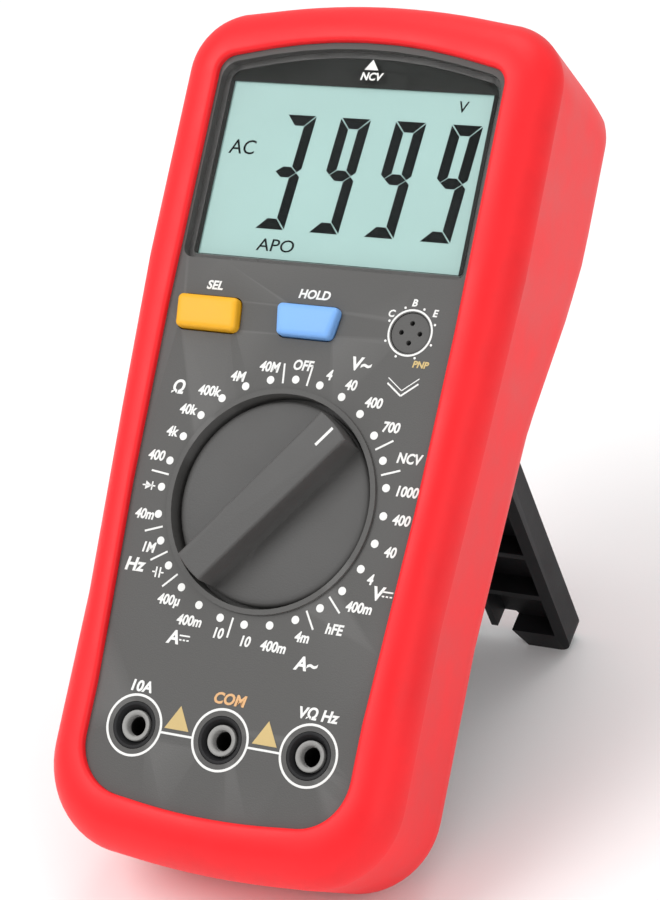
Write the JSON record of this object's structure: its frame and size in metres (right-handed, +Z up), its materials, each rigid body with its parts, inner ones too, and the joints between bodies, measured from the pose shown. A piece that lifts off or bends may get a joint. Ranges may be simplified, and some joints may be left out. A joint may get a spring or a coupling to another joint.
{
  "type": "handheld digital multimeter",
  "caption": "Handheld digital multimeter with rotary selector, two keys, display, three 4 mm jacks and a folding kick stand, standing on its open stand.",
  "frame": {"origin": "middle of the bounding box, on the surface that the meter and its open stand rest on", "axes": "+X to the right as seen by the user, +Y away from the user, +Z up; the panel leans back about the X axis"},
  "size_m": [0.0864, 0.1477, 0.1488],
  "materials": {
    "panel_plastic": "fine moulded texture, satin",
    "red_rubber": "soft-touch elastomer, satin",
    "dark_plastic": "moulded texture",
    "black_plastic": "moulded",
    "steel": "plated",
    "nickel": "nickel plated brass",
    "brass": "bare",
    "clear_lens": "clear polished acrylic",
    "lcd": "reflective liquid crystal display",
    "lcd_ink": "lit liquid crystal segments",
    "white_plastic": "natural moulding",
    "soft_rubber": "silicone rubber",
    "pcb": "solder mask",
    "yellow_rubber": "soft-touch key",
    "blue_rubber": "soft-touch key",
    "blue_plastic": "lacquer",
    "ceramic": "ceramic tube",
    "battery_wrap": "printed steel jacket"
  },
  "bodies": {
    "case": {"front_case": "panel_plastic", "front_bumper": "red_rubber", "rear_case": "dark_plastic", "rear_bumper": "red_rubber", "door_screw_insert": "brass", "case_screws": "steel", "lcd_window": "clear_lens", "window_mask": "black_plastic", "lcd_glass": "lcd", "display_segments": "lcd_ink", "lcd_frame": "white_plastic", "lcd_diffuser": "white_plastic", "backlight_leds": "white_plastic", "zebra_strips": "soft_rubber", "main_pcb": "pcb", "pcb_screws": "steel", "detent_ring": "white_plastic", "keypad_mat": "soft_rubber", "hfe_socket": "black_plastic", "hfe_contacts": "brass", "jack_block": "black_plastic", "jack_sleeve_amp": "nickel", "jack_sleeve_com": "nickel", "jack_sleeve_volt": "nickel", "meter_chip": "black_plastic", "crystal": "steel", "trimmer_pots": "blue_plastic", "precision_resistors": "blue_plastic", "electrolytic_capacitors": "dark_plastic", "varistors": "blue_plastic", "ptc_thermistor": "yellow_rubber", "shunt_wire": "brass", "fuse_high": "ceramic", "fuse_low": "ceramic", "fuse_clips": "brass", "buzzer": "black_plastic", "ncv_antenna": "brass", "battery_block": "battery_wrap", "battery_terminals": "black_plastic"},
    "selector": {"selector_knob": "panel_plastic", "selector_rotor": "white_plastic", "wiper_contacts": "brass", "detent_balls": "steel", "detent_springs": "steel"},
    "select_button": {"select_key": "yellow_rubber", "select_pill": "soft_rubber"},
    "hold_button": {"hold_key": "blue_rubber", "hold_pill": "soft_rubber"},
    "stand": {"kick_stand": "black_plastic"},
    "battery_cover": {"battery_door": "dark_plastic", "battery_door_screw": "steel"}
  },
  "joints": [
    {"name": "selector_turn", "type": "hinge", "parent": "case", "child": "selector", "pos_m": [0, -0.0229, 0.0737], "axis": [0, -0.7138, 0.7003], "continuous": true},
    {"name": "select_press", "type": "slide", "parent": "case", "child": "select_button", "axis": [0, 0.7138, -0.7003], "range_m": [0, 0.001], "stiffness_N_per_m": 900, "springref_m": -0.0006},
    {"name": "hold_press", "type": "slide", "parent": "case", "child": "hold_button", "axis": [0, 0.7138, -0.7003], "range_m": [0, 0.001], "stiffness_N_per_m": 900, "springref_m": -0.0006},
    {"name": "stand_fold", "type": "hinge", "parent": "case", "child": "stand", "pos_m": [0, 0.01767, 0.06864], "axis": [1, 0, 0], "range_deg": [-64, 0]},
    {"name": "battery_door_lift", "type": "slide", "parent": "case", "child": "battery_cover", "axis": [0, 0.7138, -0.7003], "range_m": [0, 0.012]}
  ]
}
